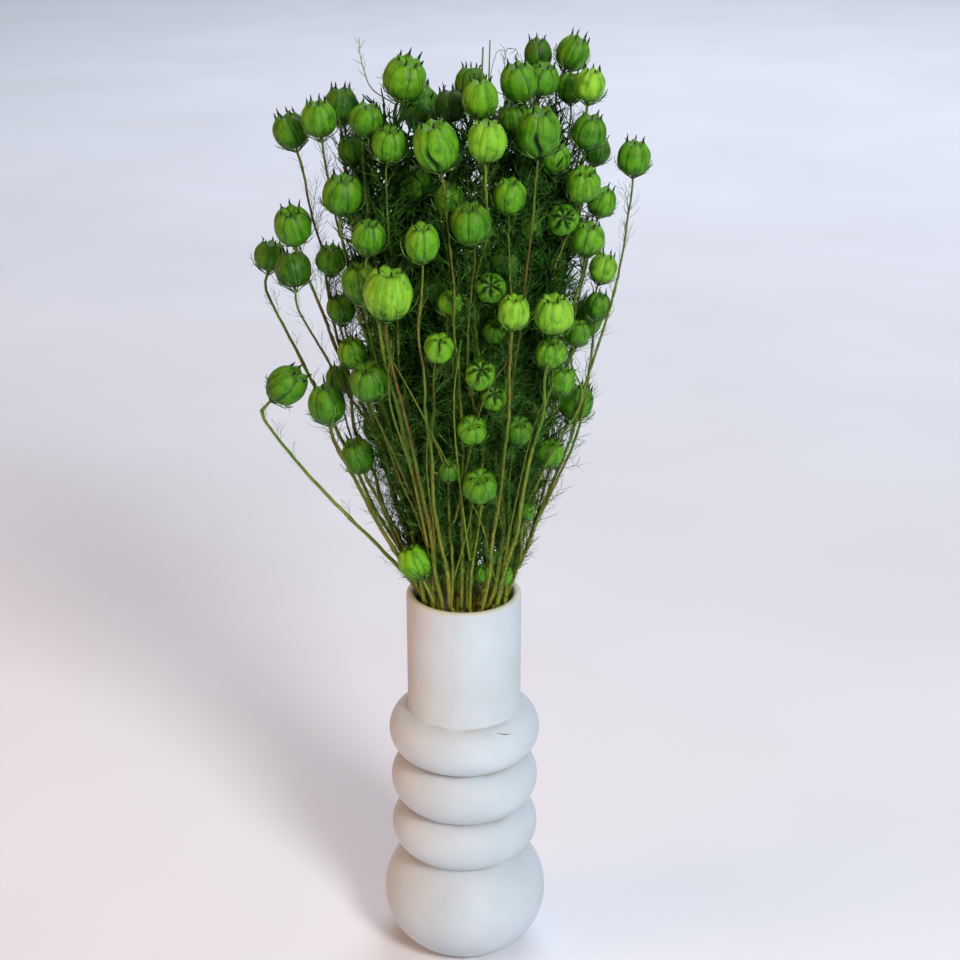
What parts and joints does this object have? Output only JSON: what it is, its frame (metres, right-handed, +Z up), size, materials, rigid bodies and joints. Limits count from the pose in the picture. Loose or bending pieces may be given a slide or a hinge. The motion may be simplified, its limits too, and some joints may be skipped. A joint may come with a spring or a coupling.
{
  "type": "bunch of dried nigella seed pods in a vase",
  "caption": "Dried, dyed bunch of ribbed nigella seed pods with horned crowns and thread leaves, standing in a ringed ceramic vase.",
  "frame": {"origin": "middle of the vase's foot, on the surface it stands on", "axes": "+Z up along the vase and the stems, -Y to the front"},
  "size_m": [0.2105, 0.1475, 0.531],
  "materials": {
    "white_glaze": "satin white glaze",
    "dyed_dry_plant": "dry papery plant, dyed green"
  },
  "bodies": {
    "root": {"vase": "white_glaze", "stem_01": "dyed_dry_plant", "stem_02": "dyed_dry_plant", "stem_03": "dyed_dry_plant", "stem_04": "dyed_dry_plant", "stem_05": "dyed_dry_plant", "stem_06": "dyed_dry_plant", "stem_07": "dyed_dry_plant", "stem_08": "dyed_dry_plant", "stem_09": "dyed_dry_plant", "stem_10": "dyed_dry_plant", "stem_11": "dyed_dry_plant", "stem_12": "dyed_dry_plant", "stem_13": "dyed_dry_plant", "stem_14": "dyed_dry_plant", "stem_15": "dyed_dry_plant", "stem_16": "dyed_dry_plant", "stem_17": "dyed_dry_plant", "stem_18": "dyed_dry_plant", "stem_19": "dyed_dry_plant", "stem_20": "dyed_dry_plant", "stem_21": "dyed_dry_plant", "stem_22": "dyed_dry_plant", "stem_23": "dyed_dry_plant", "stem_24": "dyed_dry_plant", "stem_25": "dyed_dry_plant", "stem_26": "dyed_dry_plant", "stem_27": "dyed_dry_plant", "stem_28": "dyed_dry_plant", "stem_29": "dyed_dry_plant", "stem_30": "dyed_dry_plant", "stem_31": "dyed_dry_plant", "stem_32": "dyed_dry_plant", "stem_33": "dyed_dry_plant", "stem_34": "dyed_dry_plant", "stem_35": "dyed_dry_plant", "stem_36": "dyed_dry_plant"}
  },
  "joints": []
}
